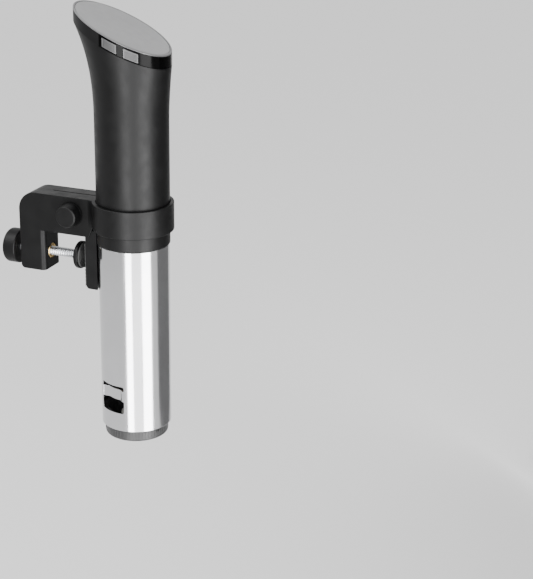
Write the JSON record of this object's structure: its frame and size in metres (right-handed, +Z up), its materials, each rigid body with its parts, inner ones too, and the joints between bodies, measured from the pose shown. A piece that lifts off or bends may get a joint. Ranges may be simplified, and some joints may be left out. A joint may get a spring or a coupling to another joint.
{
  "type": "sous vide circulator",
  "caption": "Tall immersion circulator with a slanted, flared head, a slotted steel skirt around heater and impeller, and a screw clamp whose split ring lets it slide and turn.",
  "frame": {"origin": "middle of the fixed jaw's rubber face, where the vessel's inner wall rests", "axes": "+Z up along the tube, -X out of the pad's face towards the clamp's knob, user on the -Y side, where the ring screw's knob is"},
  "size_m": [0.1556, 0.069, 0.3738],
  "materials": {
    "matte_black": "satin",
    "gloss_black": "gloss",
    "display_grey": "satin",
    "vent_grey": "satin",
    "stainless_steel": "polished",
    "zinc": "satin",
    "brass": "satin",
    "rubber": "matte",
    "cap_grey": "matte",
    "white_plastic": "satin",
    "board_green": "satin",
    "component": "satin",
    "transformer_core": "satin"
  },
  "bodies": {
    "clamp": {"clamp_body": "matte_black", "jaw_pad": "rubber", "screw_insert": "brass", "ring_nut": "zinc"},
    "pressure_foot": {"pressure_foot": "matte_black", "foot_pad": "rubber"},
    "clamp_screw": {"clamp_screw": "zinc", "clamp_knob": "matte_black"},
    "ring_washer": {"ring_washer": "matte_black"},
    "ring_screw": {"ring_screw": "zinc", "ring_knob": "matte_black"},
    "ring_liner": {"ring_liner": "rubber"},
    "circulator": {"head_housing": "matte_black", "trim_band": "gloss_black", "display_bezel": "display_grey", "display_lens": "display_grey", "vent_grille_near_rear": "vent_grey", "vent_grille_near_front": "vent_grey", "vent_grille_far_rear": "vent_grey", "vent_grille_far_front": "vent_grey", "display_board": "board_green", "power_board": "board_green", "transformer": "transformer_core", "heater_relay": "component", "filter_capacitor": "component", "cord_gland": "rubber", "bulkhead": "white_plastic", "motor": "zinc", "motor_screw_1": "zinc", "motor_screw_2": "zinc", "motor_screw_3": "zinc", "shaft_seal": "rubber", "shaft_guide": "stainless_steel", "shaft_bush": "white_plastic", "heater_coil": "stainless_steel", "temperature_probe": "stainless_steel", "low_level_rod": "stainless_steel", "high_level_rod": "stainless_steel"},
    "rotor": {"motor_shaft": "stainless_steel", "cooling_fan": "white_plastic", "impeller": "white_plastic"},
    "skirt_seal": {"skirt_o_ring": "rubber"},
    "skirt": {"skirt": "stainless_steel"},
    "end_cap": {"end_cap": "cap_grey"}
  },
  "joints": [
    {"name": "foot_advance", "type": "slide", "parent": "clamp", "child": "pressure_foot", "axis": [1, 0, 0], "range_m": [-0.0245, 0.0052]},
    {"name": "clamp_screw_turn", "type": "hinge", "parent": "pressure_foot", "child": "clamp_screw", "pos_m": [-0.055, 0, 0.0046], "axis": [1, 0, 0], "range_deg": [-4411, 937]},
    {"name": "washer_ease", "type": "slide", "parent": "clamp", "child": "ring_washer", "axis": [0, -1, 0], "range_m": [0, 0.0025]},
    {"name": "ring_screw_turn", "type": "hinge", "parent": "ring_washer", "child": "ring_screw", "pos_m": [-0.01, -0.015, 0.0449], "axis": [0, -1, 0], "range_deg": [0, 720.5]},
    {"name": "head_turn", "type": "hinge", "parent": "clamp", "child": "ring_liner", "pos_m": [0.0415, 0, 0.0473], "axis": [0, 0, 1], "continuous": true},
    {"name": "height_slide", "type": "slide", "parent": "ring_liner", "child": "circulator", "axis": [0, 0, 1], "range_m": [-0.03, 0.006]},
    {"name": "rotor_spin", "type": "hinge", "parent": "circulator", "child": "rotor", "pos_m": [0.0415, 0, -0.03], "axis": [0, 0, 1], "continuous": true},
    {"name": "skirt_twist", "type": "hinge", "parent": "circulator", "child": "skirt_seal", "pos_m": [0.0415, 0, 0.0153], "axis": [0, 0, 1], "range_deg": [0, 20]},
    {"name": "skirt_pull", "type": "slide", "parent": "skirt_seal", "child": "skirt", "axis": [0, 0, -1], "range_m": [0, 0.17]},
    {"name": "cap_pull", "type": "slide", "parent": "skirt", "child": "end_cap", "axis": [0, 0, -1], "range_m": [0, 0.03]}
  ],
  "couplings": [
    {"joint": "clamp_screw_turn", "follows": "foot_advance", "rad_per_m": 3141.6},
    {"joint": "ring_screw_turn", "follows": "washer_ease", "rad_per_m": 5026.5}
  ]
}
